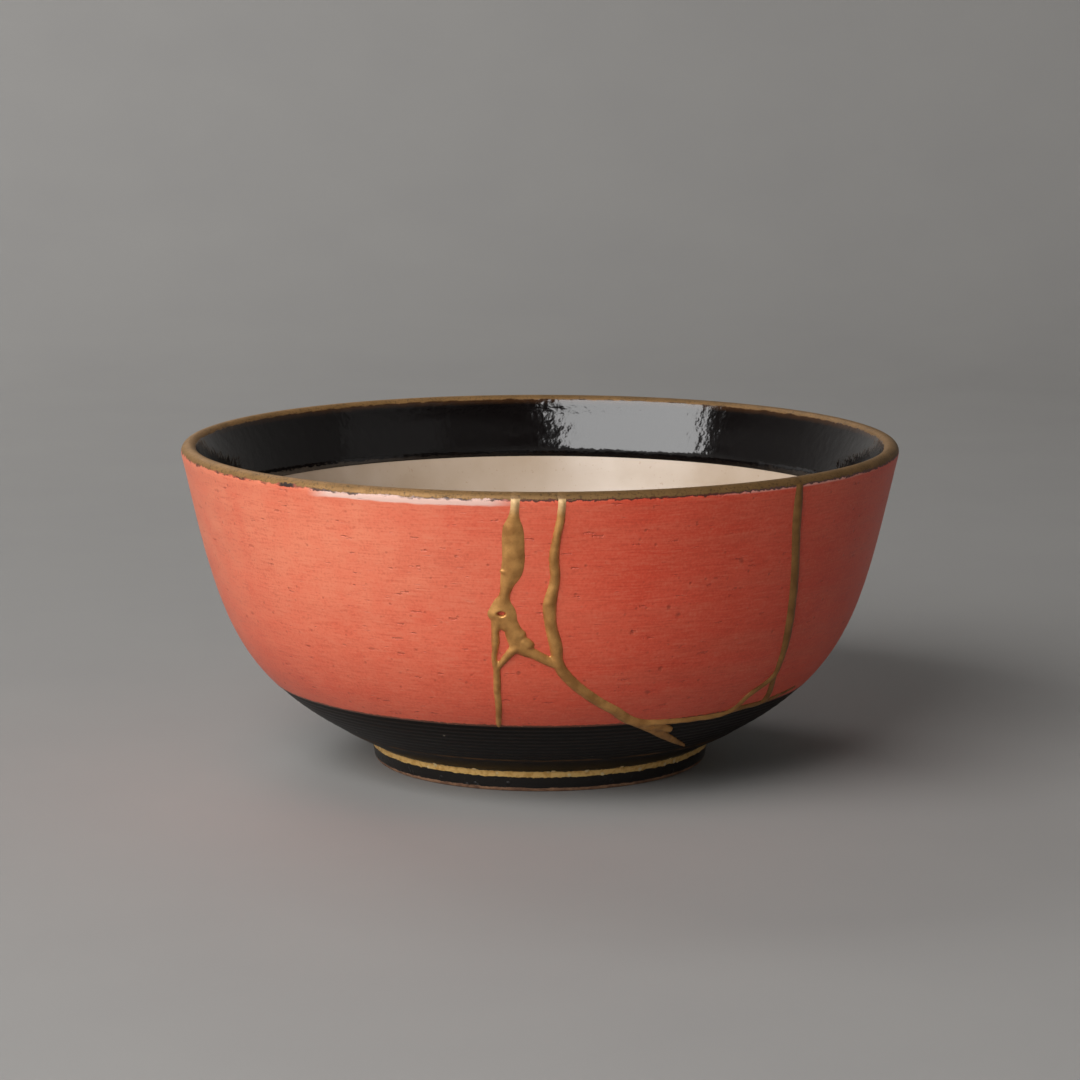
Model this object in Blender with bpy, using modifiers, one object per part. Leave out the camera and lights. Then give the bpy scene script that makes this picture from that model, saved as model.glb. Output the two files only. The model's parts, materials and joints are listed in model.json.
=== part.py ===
"""A wide footed tea bowl, broken at the rim and mended with gold lacquer.

The bowl is one turned wall. Two cracks part it into the bowl and two rim sherds, and one
run of gold lacquer fills the cracks and stands proud as beads on both faces of the wall.
Metres, +Z up. The bowl stands on the origin, and its mended side faces -Y.
"""

import math

import bmesh
import bpy
from mathutils import Vector

# Whole bowl
RIM_RADIUS = 0.090
HEIGHT = 0.0813

# Outer wall, one cubic curve from the foot ring up to the lip
UNDERSIDE_RISE = math.radians(25.5)
UNDERSIDE_PULL = 0.455
RIM_LEAN = math.radians(12.5)
RIM_PULL = 0.49

# Thickness of the wall, measured square to its outer face
LIP = 0.0040
SHOULDER_WALL = 0.0060
FOOT_WALL = 0.0075
FLOOR = 0.0060
# Shares of the outer curve where the lip begins to thin, and where the floor's curve joins
SHOULDER = 0.82
FLOOR_JOIN = 0.08
FLOOR_PULL = 0.27

# Foot ring
FOOT_TOP_RADIUS = 0.043
FOOT_BASE_RADIUS = 0.042
FOOT_HEIGHT = 0.0054
FOOT_WIDTH = 0.0055
FOOT_RECESS = 0.0038
FOOT_EDGE = 0.0008
RECESS_FILLET = 0.0016

# Where the glazes and the gilding change, as heights above the table
CORAL_FOOT = 0.0220
BLACK_BAND = 0.0650
BARE_CLAY = 0.0015
GILT_FOOT = 0.0035

# Lacquer joint: the web in each crack, its gap to the sherds, and the beads on the glaze.
# A run that crosses another lies one tier higher, so that the two join cleanly.
WEB = 0.0008
GAP = 0.0003
BEAD_HEIGHT = 0.0011
BEAD_FULLNESS = 0.0006
BEAD_AT_RIM = 0.25
BEAD_THINS_FROM = 0.91
INNER_BEAD_WIDTH = 0.6
INNER_BEAD_HEIGHT = 0.0005
TIER = 0.00008
CUT_MARGIN = 0.005

# How finely the curves are drawn
TURN_STEPS = 64
FLOOR_RINGS = 5
WELL_RINGS = 7
BAND_RINGS = 3
CORAL_RINGS = 8
UNDERSIDE_RINGS = 4
LIP_ANGLES = (135, 90, 45)
LIP_STATIONS = (1.4, 1.75)
ROUTE_STEPS = 2
BEAD_SIDES = 4
INNER_BEAD_SIDES = 2
SHARP_FROM = math.radians(35)

# Routes on the outer wall: azimuth in degrees from the front towards +X, height as a
# share of the bowl's height, and half the bead's width in metres.
# The wide sherd's crack runs down from the rim, along the coral glaze's foot and up again.
WIDE_CRACK = [
    (3.2, 0.970, 0.0008), (3.0, 0.922, 0.0010), (2.5, 0.873, 0.0010), (2.1, 0.812, 0.0012),
    (2.3, 0.750, 0.0012), (1.8, 0.701, 0.0014), (1.5, 0.664, 0.0016), (1.7, 0.609, 0.0014),
    (2.6, 0.541, 0.0015), (2.9, 0.500, 0.0013), (3.9, 0.460, 0.0014), (6.5, 0.412, 0.0014),
    (10.2, 0.364, 0.0014), (14.0, 0.326, 0.0014), (17.2, 0.291, 0.0015), (20.5, 0.274, 0.0014),
    (26.0, 0.270, 0.0010), (34.0, 0.267, 0.0009), (40.0, 0.269, 0.0008), (42.4, 0.286, 0.0007),
    (43.9, 0.327, 0.0006), (46.5, 0.354, 0.0006), (48.3, 0.385, 0.0007), (48.0, 0.428, 0.0008),
    (47.7, 0.461, 0.0010), (47.1, 0.515, 0.0014), (46.3, 0.584, 0.0013), (45.4, 0.670, 0.0013),
    (44.5, 0.744, 0.0013), (43.6, 0.812, 0.0012), (43.0, 0.873, 0.0012), (42.6, 0.930, 0.0012),
    (42.3, 0.970, 0.0009),
]
# The narrow sherd's crack runs down through the drip and over to the wide one.
NARROW_CRACK = [
    (-3.6, 0.970, 0.0007), (-3.7, 0.952, 0.0010), (-4.1, 0.932, 0.0016), (-3.9, 0.912, 0.0016),
    (-4.1, 0.890, 0.0024), (-4.0, 0.850, 0.0026), (-4.0, 0.800, 0.0026), (-4.5, 0.768, 0.0025),
    (-5.0, 0.735, 0.0015), (-5.5, 0.695, 0.0013), (-6.0, 0.665, 0.0030), (-6.0, 0.640, 0.0035),
    (-5.6, 0.617, 0.0031), (-4.5, 0.595, 0.0021), (-4.0, 0.572, 0.0021), (-3.4, 0.545, 0.0019),
    (-2.3, 0.527, 0.0015), (-1.0, 0.516, 0.0014), (0.5, 0.504, 0.0013), (1.9, 0.492, 0.0013),
    (3.2, 0.482, 0.0012),
]
# Runs of gold that only lie on the glaze, each with the tier it lies on
SURFACE_RUNS = {
    "long_drip": (2, [
        (-6.6, 0.630, 0.0013), (-7.2, 0.590, 0.0009), (-7.2, 0.560, 0.0010), (-7.4, 0.530, 0.0008),
        (-7.6, 0.500, 0.0007), (-7.3, 0.465, 0.0009), (-7.5, 0.400, 0.0009), (-7.6, 0.340, 0.0008),
        (-8.0, 0.290, 0.0006), (-8.1, 0.276, 0.0004),
    ]),
    "cross_drip": (3, [
        (-3.9, 0.535, 0.0009), (-4.8, 0.523, 0.0008), (-5.9, 0.500, 0.0007), (-6.8, 0.481, 0.0007),
        (-7.4, 0.466, 0.0006),
    ]),
    "foot_drip": (2, [
        (19.6, 0.275, 0.0015), (23.5, 0.246, 0.0014), (28.5, 0.208, 0.0012), (34.0, 0.174, 0.0007),
        (39.5, 0.145, 0.0003),
    ]),
    "right_leg": (2, [
        (48.2, 0.385, 0.0007), (49.3, 0.350, 0.0006), (50.6, 0.318, 0.0006), (51.2, 0.288, 0.0006),
    ]),
    "hairline": (3, [
        (41.5, 0.276, 0.0009), (45.5, 0.281, 0.0008), (49.7, 0.281, 0.0007), (53.2, 0.287, 0.0005),
        (57.0, 0.293, 0.0004), (62.0, 0.302, 0.0003),
    ]),
}

# Colours (sRGB) and finishes
CORAL_GLAZE = ((0.80, 0.38, 0.30), 0.45, 0.0)
BLACK_GLAZE = ((0.045, 0.035, 0.033), 0.12, 0.0)
CREAM_GLAZE = ((0.84, 0.76, 0.67), 0.35, 0.0)
BARE_STONEWARE = ((0.60, 0.42, 0.30), 0.85, 0.0)
WORN_GILDING = ((0.55, 0.42, 0.22), 0.40, 0.9)
GOLD_LACQUER = ((0.62, 0.49, 0.26), 0.35, 0.9)


# Start from an empty file
for old in list(bpy.data.objects):
    bpy.data.objects.remove(old, do_unlink=True)

bowl_parts = bpy.data.collections.new("kintsugi_bowl")
cutters = bpy.data.collections.new("cutters")
bpy.context.scene.collection.children.link(bowl_parts)
bpy.context.scene.collection.children.link(cutters)


def bezier(points, t):
    """Point on a cubic curve given by its four control points."""
    a, b, c, d = points
    s = 1.0 - t
    return a * s**3 + b * (3 * s * s * t) + c * (3 * s * t * t) + d * t**3


# Profile of the wall, as (radius, height) points
WALL_UP = Vector((math.sin(RIM_LEAN), math.cos(RIM_LEAN)))
WALL_OUT = Vector((math.cos(RIM_LEAN), -math.sin(RIM_LEAN)))
LIP_CENTRE = Vector((RIM_RADIUS - LIP / 2, HEIGHT - LIP / 2))
WALL_FOOT = Vector((FOOT_TOP_RADIUS, FOOT_HEIGHT))
WALL_TOP = LIP_CENTRE + WALL_OUT * (LIP / 2)
SPAN = (WALL_TOP - WALL_FOOT).length
RISE_WAY = Vector((math.cos(UNDERSIDE_RISE), math.sin(UNDERSIDE_RISE)))
OUTER_CURVE = [
    WALL_FOOT,
    WALL_FOOT + RISE_WAY * (UNDERSIDE_PULL * SPAN),
    WALL_TOP - WALL_UP * (RIM_PULL * SPAN),
    WALL_TOP,
]


def thickness(t):
    """Wall thickness along the curve: thin at the lip, full below it, heavy at the foot."""
    if t > SHOULDER:
        below = (1.0 - t) / (1.0 - SHOULDER)
        return LIP + (SHOULDER_WALL - LIP) * below * (2.0 - below)
    return FOOT_WALL + (SHOULDER_WALL - FOOT_WALL) * t / SHOULDER


def wall_station(t):
    """Outer point, outward normal and thickness of the wall at t, from 0 at the foot.

    Past 1 the station climbs round the lip: t = 2 would be its crest.
    """
    if t > 1.0:
        climb = (t - 1.0) * LIP / 2
        half = math.sqrt((LIP / 2) ** 2 - climb**2)
        return LIP_CENTRE + WALL_UP * climb + WALL_OUT * half, WALL_OUT, 2 * half
    step = 0.001
    way = bezier(OUTER_CURVE, min(t + step, 1.0)) - bezier(OUTER_CURVE, max(t - step, 0.0))
    way.normalize()
    return bezier(OUTER_CURVE, t), Vector((way.y, -way.x)), thickness(t)


def outer_point(t):
    """Point of the outer wall at t."""
    return bezier(OUTER_CURVE, t)


def station_at(height, point_at):
    """The t at which one face of the wall reaches a height."""
    low, high = 0.0, 1.0
    for _ in range(40):
        middle = (low + high) / 2
        if point_at(middle).y < height:
            low = middle
        else:
            high = middle
    return (low + high) / 2


def inner_point(t):
    """Point of the inner wall straight behind the outer wall's point at t."""
    outer, normal, wall = wall_station(t)
    return outer - normal * wall


def spread(start, end, count):
    """Count + 1 even values from start to end."""
    return [start + (end - start) * i / count for i in range(count + 1)]


def bowl_profile():
    """The section of the wall, from the floor's middle over the lip to the foot's recess."""
    join = inner_point(FLOOR_JOIN)
    join_way = (inner_point(FLOOR_JOIN + 0.01) - join).normalized()
    floor_height = FOOT_RECESS + FLOOR
    floor_curve = [
        Vector((0.0, floor_height)),
        Vector((join.x / 2, floor_height)),
        join - join_way * (join.x * FLOOR_PULL),
        join,
    ]
    points = [bezier(floor_curve, t) for t in spread(0.0, 1.0, FLOOR_RINGS)[:-1]]
    band = station_at(BLACK_BAND, inner_point)
    stations = spread(FLOOR_JOIN, band, WELL_RINGS) + spread(band, 1.0, BAND_RINGS)[1:]
    points += [inner_point(t) for t in stations]
    for angle in LIP_ANGLES:
        turn = math.radians(angle) - RIM_LEAN
        points.append(LIP_CENTRE + Vector((math.cos(turn), math.sin(turn))) * (LIP / 2))
    coral_foot = station_at(CORAL_FOOT, outer_point)
    stations = spread(1.0, coral_foot, CORAL_RINGS)
    stations += spread(coral_foot, 0.0, UNDERSIDE_RINGS)[1:]
    points += [outer_point(t) for t in stations]
    slope = (FOOT_TOP_RADIUS - FOOT_BASE_RADIUS) / FOOT_HEIGHT
    for height in (GILT_FOOT, BARE_CLAY):
        points.append(Vector((FOOT_TOP_RADIUS - slope * (FOOT_HEIGHT - height), height)))
    inside = FOOT_BASE_RADIUS - FOOT_WIDTH
    points += [
        Vector((FOOT_BASE_RADIUS, FOOT_EDGE)),
        Vector((FOOT_BASE_RADIUS - FOOT_EDGE, 0.0)),
        Vector((inside + FOOT_EDGE, 0.0)),
        Vector((inside, FOOT_EDGE)),
        Vector((inside - FOOT_EDGE, FOOT_RECESS - RECESS_FILLET / 2)),
        Vector((inside - FOOT_EDGE - RECESS_FILLET, FOOT_RECESS)),
        Vector((0.0, FOOT_RECESS)),
    ]
    return points


def turned(name, points):
    """A solid turned from its profile about the bowl's axis."""
    mesh = bpy.data.meshes.new(name)
    edges = [(i, i + 1) for i in range(len(points) - 1)]
    mesh.from_pydata([(p.x, 0.0, p.y) for p in points], edges, [])
    turned_object = bpy.data.objects.new(name, mesh)
    bowl_parts.objects.link(turned_object)
    screw = turned_object.modifiers.new("Turn", "SCREW")
    screw.steps = TURN_STEPS
    screw.render_steps = TURN_STEPS
    screw.use_merge_vertices = True
    screw.merge_threshold = 0.00001
    return turned_object


def smooth_route(points):
    """A rounded path through hand-set points."""
    path = []
    for i in range(len(points) - 1):
        before = points[max(i - 1, 0)]
        start, end = points[i], points[i + 1]
        after = points[min(i + 2, len(points) - 1)]
        for k in range(ROUTE_STEPS):
            t = k / ROUTE_STEPS
            path.append(tuple(
                0.5 * (2 * b + (c - a) * t + (2 * a - 5 * b + 4 * c - d) * t * t
                       + (3 * b - a - 3 * c + d) * t**3)
                for a, b, c, d in zip(before, start, end, after)
            ))
    path.append(tuple(points[-1]))
    return path


def wall_frame(azimuth, t):
    """Outer point, outward normal and wall thickness at a place on the wall, in space."""
    point, normal, wall = wall_station(t)
    turn = math.radians(azimuth)
    way = Vector((math.sin(turn), -math.cos(turn), 0.0))
    up = Vector((0.0, 0.0, 1.0))
    return way * point.x + up * point.y, way * normal.x + up * normal.y, wall


def route_stations(route, rim_ends, over_lip):
    """Frames along a route: point, side way, outward normal, wall thickness, half width, t.

    rim_ends names the ends that reach the rim, and over_lip the wall stations added there.
    """
    path = [
        (azimuth, station_at(share * HEIGHT, outer_point), half)
        for azimuth, share, half in smooth_route(route)
    ]
    if "start" in rim_ends:
        azimuth, _, half = path[0]
        path[0] = (azimuth, 1.0, half)
        path = [(azimuth, t, half) for t in over_lip[::-1]] + path
    if "end" in rim_ends:
        azimuth, _, half = path[-1]
        path[-1] = (azimuth, 1.0, half)
        path = path + [(azimuth, t, half) for t in over_lip]
    frames = [wall_frame(azimuth, t) for azimuth, t, _ in path]
    stations = []
    for i, (point, normal, wall) in enumerate(frames):
        middles = [f[0] - f[1] * (f[2] / 2) for f in frames[max(i - 1, 0):i + 2]]
        side = normal.cross(middles[-1] - middles[0]).normalized()
        stations.append((point, side, normal, wall, path[i][2], path[i][1]))
    return stations


def loft(name, sections, collection):
    """A closed solid through a row of closed outlines with equal numbers of points."""
    shape = bmesh.new()
    loops = [[shape.verts.new(p) for p in section] for section in sections]
    for near, far in zip(loops, loops[1:]):
        for i in range(len(near)):
            j = (i + 1) % len(near)
            shape.faces.new((near[i], near[j], far[j], far[i]))
    shape.faces.new(reversed(loops[0]))
    shape.faces.new(loops[-1])
    bmesh.ops.recalc_face_normals(shape, faces=shape.faces)
    mesh = bpy.data.meshes.new(name)
    shape.to_mesh(mesh)
    shape.free()
    lofted = bpy.data.objects.new(name, mesh)
    collection.objects.link(lofted)
    return lofted


def as_cutter(tool):
    """Mark a solid as one that only cuts or joins."""
    tool.hide_render = True
    tool.display_type = "WIRE"


def crack_cutter(name, route, rim_ends):
    """A ribbon through the whole wall along a route, and on past the rim."""
    stations = route_stations(route, rim_ends, ())
    if "start" in rim_ends:
        stations.insert(0, past_rim(stations[0]))
    if "end" in rim_ends:
        stations.append(past_rim(stations[-1]))
    sections = []
    for point, side, normal, wall, _, _ in stations:
        front = point + normal * CUT_MARGIN
        back = point - normal * (wall + CUT_MARGIN)
        across = side * (WEB / 2 + GAP)
        sections.append([front + across, front - across, back - across, back + across])
    cutter = loft(name, sections, cutters)
    as_cutter(cutter)
    return cutter


def past_rim(station):
    """The rim's station moved on along the wall, clear of the lip."""
    point, side, normal, wall, half, t = station
    azimuth_way = Vector((point.x, point.y, 0.0)).normalized()
    up = azimuth_way * WALL_UP.x + Vector((0.0, 0.0, WALL_UP.y))
    return point + up * (LIP / 2 + CUT_MARGIN), side, normal, wall, half, t


def bead_outline(half, base, height, sides, way):
    """A domed bead's outline, from one foot over its crown to the other."""
    turns = [math.pi * i / sides for i in range(sides + 1)]
    return [(half * math.cos(a) * way, base + height * math.sin(a)) for a in turns]


def bead_height(half, t):
    """A narrow bead is lower than a wide one, and each thins out under the lip."""
    near_rim = max(0.0, t - BEAD_THINS_FROM) / (1.0 - BEAD_THINS_FROM)
    thinning = 1.0 - (1.0 - BEAD_AT_RIM) * near_rim
    return BEAD_HEIGHT * half / (half + BEAD_FULLNESS) * thinning


def crack_filling(name, route, rim_ends, tier, collection):
    """Lacquer in a crack: a web through the wall with a bead on each face of it."""
    web = WEB / 2
    sections = []
    for point, side, normal, wall, half, t in route_stations(route, rim_ends, LIP_STATIONS):
        stand = GAP + tier
        inner_half = half * INNER_BEAD_WIDTH
        rise, inner_rise = bead_height(half, t), INNER_BEAD_HEIGHT
        if t > 1.0:
            half = inner_half = web
            stand = rise = inner_rise = 0.0
        outer = bead_outline(half, stand, rise, BEAD_SIDES, 1)
        inner = bead_outline(inner_half, stand, inner_rise, INNER_BEAD_SIDES, -1)
        outline = outer + [(-web, stand), (-web, -wall - stand)]
        outline += [(x, -wall - depth) for x, depth in inner]
        outline += [(web, -wall - stand), (web, stand)]
        sections.append([point + side * x + normal * depth for x, depth in outline])
    return loft(name, sections, collection)


def surface_run(name, route, tier):
    """Lacquer that lies on the glaze: a bead alone."""
    sections = []
    for point, side, normal, _, half, t in route_stations(route, (), ()):
        outline = bead_outline(half, GAP + tier, bead_height(half, t), BEAD_SIDES, 1)
        sections.append([point + side * x + normal * depth for x, depth in outline])
    run = loft(name, sections, cutters)
    as_cutter(run)
    return run


def boolean(target, tool, operation):
    """Cut or join one solid by another."""
    modifier = target.modifiers.new(tool.name, "BOOLEAN")
    modifier.object = tool
    modifier.operation = operation
    modifier.solver = "EXACT"


def apply_modifiers(target):
    """Keep a modelled shape as its object's own mesh."""
    bpy.context.view_layer.update()
    evaluated = target.evaluated_get(bpy.context.evaluated_depsgraph_get())
    mesh = bpy.data.meshes.new_from_object(evaluated)
    target.modifiers.clear()
    target.data = mesh


def material(name, finish):
    """A plain Principled material from a colour, a roughness and a metallic value."""
    colour, roughness, metallic = finish
    made = bpy.data.materials.new(name)
    made.use_nodes = True
    shader = made.node_tree.nodes["Principled BSDF"]
    linear = [c / 12.92 if c <= 0.04045 else ((c + 0.055) / 1.055) ** 2.4 for c in colour]
    shader.inputs["Base Color"].default_value = (*linear, 1.0)
    shader.inputs["Roughness"].default_value = roughness
    shader.inputs["Metallic"].default_value = metallic
    return made


def shade(piece):
    """Smooth faces with sharp edges where the form turns a corner."""
    piece.data.shade_smooth()
    piece.data.set_sharp_from_angle(angle=SHARP_FROM)


GLAZES = [
    material("coral_glaze", CORAL_GLAZE),
    material("black_glaze", BLACK_GLAZE),
    material("cream_glaze", CREAM_GLAZE),
    material("bare_stoneware", BARE_STONEWARE),
    material("worn_gilding", WORN_GILDING),
]
CORAL, BLACK, CREAM, CLAY, GILT = range(len(GLAZES))


def zone(centre, normal):
    """Which finish covers a face, from where it lies on the bowl."""
    outwards = normal.x * centre.x + normal.y * centre.y > 0
    if centre.z > WALL_TOP.y:
        return GILT
    if not outwards and centre.z > FOOT_RECESS + FLOOR / 2:
        return BLACK if centre.z > BLACK_BAND else CREAM
    if centre.z > CORAL_FOOT:
        return CORAL
    if centre.z > FOOT_HEIGHT:
        return BLACK if outwards else CREAM
    if centre.z < BARE_CLAY or not outwards:
        return CLAY
    return GILT if centre.z > GILT_FOOT else BLACK


def glaze(sherd):
    """Lay the glazes and the gilding on a piece of the bowl."""
    sherd.data.materials.clear()
    for made in GLAZES:
        sherd.data.materials.append(made)
    for face in sherd.data.polygons:
        face.material_index = zone(face.center, face.normal)
    shade(sherd)


# The fired bowl, parted by its cracks
bowl = turned("fired_bowl", bowl_profile())
boolean(bowl, crack_cutter("wide_crack", WIDE_CRACK, ("start", "end")), "DIFFERENCE")
boolean(bowl, crack_cutter("narrow_crack", NARROW_CRACK, ("start",)), "DIFFERENCE")
apply_modifiers(bowl)

bpy.context.view_layer.objects.active = bowl
bowl.select_set(True)
bpy.ops.mesh.separate(type="LOOSE")
pieces = sorted(bowl_parts.objects, key=lambda piece: piece.dimensions.x, reverse=True)
for piece, name in zip(pieces, ("bowl_body", "wide_rim_sherd", "narrow_rim_sherd")):
    piece.name = name
    piece.data.name = name
    glaze(piece)

# The lacquer: both cracks filled, and the runs on the glaze joined on
seam = crack_filling("gold_seam", WIDE_CRACK, ("start", "end"), 0.0, bowl_parts)
narrow_filling = crack_filling("narrow_filling", NARROW_CRACK, ("start",), TIER, cutters)
as_cutter(narrow_filling)
boolean(seam, narrow_filling, "UNION")
for name, (tier, route) in SURFACE_RUNS.items():
    boolean(seam, surface_run(name, route, tier * TIER), "UNION")
apply_modifiers(seam)
seam.data.materials.clear()
seam.data.materials.append(material("gold_lacquer", GOLD_LACQUER))
shade(seam)
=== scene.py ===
import json
import math

import bmesh
import bpy
import numpy as np
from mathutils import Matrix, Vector, noise

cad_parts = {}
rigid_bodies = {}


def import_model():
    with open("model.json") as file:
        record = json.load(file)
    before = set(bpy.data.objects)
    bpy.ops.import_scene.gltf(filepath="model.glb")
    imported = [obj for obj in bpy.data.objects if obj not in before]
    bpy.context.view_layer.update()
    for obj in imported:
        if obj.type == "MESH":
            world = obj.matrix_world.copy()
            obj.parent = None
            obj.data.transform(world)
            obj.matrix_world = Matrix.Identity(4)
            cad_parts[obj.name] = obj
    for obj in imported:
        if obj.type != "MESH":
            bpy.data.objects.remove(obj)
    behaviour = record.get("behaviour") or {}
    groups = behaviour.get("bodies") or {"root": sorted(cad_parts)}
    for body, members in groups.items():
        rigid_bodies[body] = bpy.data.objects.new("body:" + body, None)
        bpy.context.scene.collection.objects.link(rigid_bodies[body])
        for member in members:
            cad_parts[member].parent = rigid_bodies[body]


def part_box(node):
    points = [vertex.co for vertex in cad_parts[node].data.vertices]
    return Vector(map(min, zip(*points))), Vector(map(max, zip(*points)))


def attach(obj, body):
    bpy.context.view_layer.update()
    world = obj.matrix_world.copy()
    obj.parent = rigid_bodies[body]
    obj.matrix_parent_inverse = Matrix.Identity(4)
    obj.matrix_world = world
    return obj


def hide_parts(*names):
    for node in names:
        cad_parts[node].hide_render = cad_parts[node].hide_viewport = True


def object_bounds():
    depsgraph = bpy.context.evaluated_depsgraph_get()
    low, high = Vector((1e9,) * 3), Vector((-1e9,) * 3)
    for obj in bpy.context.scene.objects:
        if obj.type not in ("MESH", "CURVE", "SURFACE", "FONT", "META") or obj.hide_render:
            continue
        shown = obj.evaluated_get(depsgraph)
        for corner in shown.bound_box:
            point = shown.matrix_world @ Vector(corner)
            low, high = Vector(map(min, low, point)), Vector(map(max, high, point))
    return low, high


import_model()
cad_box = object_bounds()

# The fired bowl and its two rim sherds.
# Stoneware thrown on the wheel as one wall, trimmed and fluted underneath, glazed coral,
# black and cream, and fired. It broke later: two cracks part it into a bowl and two sherds.
MM = 0.001
RIM_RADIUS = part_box("bowl_body")[1][0]
# The clay's crest lies this far under the solid's, so that the gold on it stays inside
ROOM_FOR_GOLD = 0.15 * MM
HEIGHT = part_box("bowl_body")[1][2] - ROOM_FOR_GOLD
# The wall's thickness at the lip, from the shoulder and at the foot
LIP = 4.0 * MM
SHOULDER_WALL = 6.0 * MM
FOOT_WALL = 7.5 * MM
SHOULDER = 0.82
# How the floor's curve meets the wall, and how the outer curve leaves the foot and the lip
FLOOR_HEIGHT = 9.8 * MM
FLOOR_JOIN = 0.08
FLOOR_PULL = 0.27
UNDERSIDE_RISE = math.radians(25.5)
UNDERSIDE_PULL = 0.455
RIM_LEAN = math.radians(12.5)
RIM_PULL = 0.49
# The foot ring
FOOT_TOP = Vector((43.0 * MM, 5.4 * MM))
FOOT_BASE_RADIUS = 42.0 * MM
FOOT_INSIDE_RADIUS = 36.5 * MM
FOOT_EDGE = 0.8 * MM
FOOT_RECESS = 3.8 * MM
# Where the glazes end, and how thick they lie
CORAL_FOOT = 22.0 * MM
CORAL_STEP = 0.12 * MM
FLUTES_FOOT = 10.0 * MM
FLUTES = 10
FLUTE_DEPTH = 0.18 * MM
BAND_FOOT = 65.0 * MM
BAND_GLAZE = 0.45 * MM
BAND_EDGE = 2.6 * MM
BAND_ROLL = 0.35
BAND_ROLL_WIDTH = 1.4 * MM
BAND_FADE = 5.0 * MM
# How finely the wall is drawn
TURN_STEPS = 256
STEPS_TO_A_FLUTE = 6
FOOT_GRAIN = 0.35 * MM
BAND_FOOT_STEPS = (0.0006, 0.002, 0.005, 0.009, 0.014, 0.02)
# How wide each crack is, and how far its sheet reaches past both faces of the wall
CRACK = 0.25 * MM
PAST_WALL = 4 * MM
# How far the wheel's rings and the hand's dents stand off the wall, in millimetres, how many
# there are to the metre, and over what distance they fade out at the lip and the foot
WHEEL_MARKS = 0.03
HAND_MARKS = 0.09
RINGS = 330
RING_WANDER = 8
HAND_DENTS = 45
LIP_CLEAR = 3 * MM
LIP_FADE = 4 * MM
FOOT_FADE = 8 * MM

# The outer face's section, as distance from the axis and height: one curve from foot to lip
WALL_UP = Vector((math.sin(RIM_LEAN), math.cos(RIM_LEAN)))
WALL_OUT = Vector((math.cos(RIM_LEAN), -math.sin(RIM_LEAN)))
LIP_CENTRE = Vector((RIM_RADIUS - LIP / 2, HEIGHT - LIP / 2))
WALL_TOP = LIP_CENTRE + WALL_OUT * (LIP / 2)
SPAN = (WALL_TOP - FOOT_TOP).length
RISE_WAY = Vector((math.cos(UNDERSIDE_RISE), math.sin(UNDERSIDE_RISE)))
OUTER_CURVE = [
    FOOT_TOP,
    FOOT_TOP + RISE_WAY * (UNDERSIDE_PULL * SPAN),
    WALL_TOP - WALL_UP * (RIM_PULL * SPAN),
    WALL_TOP,
]


def bezier(points, t):
    """Point on a cubic curve given by its four control points."""
    a, b, c, d = points
    s = 1.0 - t
    return a * s**3 + b * (3 * s * s * t) + c * (3 * s * t * t) + d * t**3


def outer_point(t):
    """The outer wall's section, from its foot at 0 to the lip at 1."""
    return bezier(OUTER_CURVE, t)


def outer_normal(t):
    """The way out of the wall, square to its outer face."""
    way = outer_point(min(t + 0.001, 1.0)) - outer_point(max(t - 0.001, 0.0))
    way.normalize()
    return Vector((way.y, -way.x))


def wall_thickness(t):
    """Thin at the lip, full below it, heavy at the foot."""
    if t > SHOULDER:
        below = (1.0 - t) / (1.0 - SHOULDER)
        return LIP + (SHOULDER_WALL - LIP) * below * (2.0 - below)
    return FOOT_WALL + (SHOULDER_WALL - FOOT_WALL) * t / SHOULDER


def clay_inside(t):
    """The inner wall as thrown, straight behind the outer wall's point at t."""
    return outer_point(t) - outer_normal(t) * wall_thickness(t)


def station_at(height, point_at):
    """The t at which one face of the wall reaches a height."""
    low, high = 0.0, 1.0
    for _ in range(40):
        middle = (low + high) / 2
        if point_at(middle).y < height:
            low = middle
        else:
            high = middle
    return (low + high) / 2


BAND_T = station_at(BAND_FOOT, clay_inside)


def band_build_up(t):
    """How thick the black band lies on the clay: a fat roll at its foot, nothing at the lip."""
    if t <= BAND_T:
        return 0.0
    above = (clay_inside(t) - clay_inside(BAND_T)).length
    edge = min(1.0, above / BAND_EDGE)
    roll = 1.0 + BAND_ROLL * math.exp(-(((above - BAND_EDGE) / BAND_ROLL_WIDTH) ** 2))
    fade = min(1.0, (WALL_TOP - outer_point(t)).length / BAND_FADE)
    return BAND_GLAZE * math.sqrt(edge * (2.0 - edge)) * roll * fade


def inner_point(t):
    """The finished inner wall."""
    return clay_inside(t) - outer_normal(t) * band_build_up(t)


def spread(start, end, step):
    """Even values from start to end, at most a step apart."""
    count = max(1, math.ceil(abs(end - start) / step - 1e-6))
    return [start + (end - start) * i / count for i in range(count + 1)]


def lip_point(angle):
    """A point of the round lip, by degrees from the outer wall over its crest."""
    turn = math.radians(angle) - RIM_LEAN
    return LIP_CENTRE + Vector((math.cos(turn), math.sin(turn))) * (LIP / 2)


def fluted_point(height):
    """The trimmed underside: ten shallow flutes, a little below the coral glaze's face."""
    t = station_at(height, outer_point)
    turn = 2 * math.pi * FLUTES * (height - FLUTES_FOOT) / (CORAL_FOOT - FLUTES_FOOT)
    depth = CORAL_STEP + FLUTE_DEPTH * (0.5 - 0.5 * math.cos(turn))
    return outer_point(t) - outer_normal(t) * depth


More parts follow.
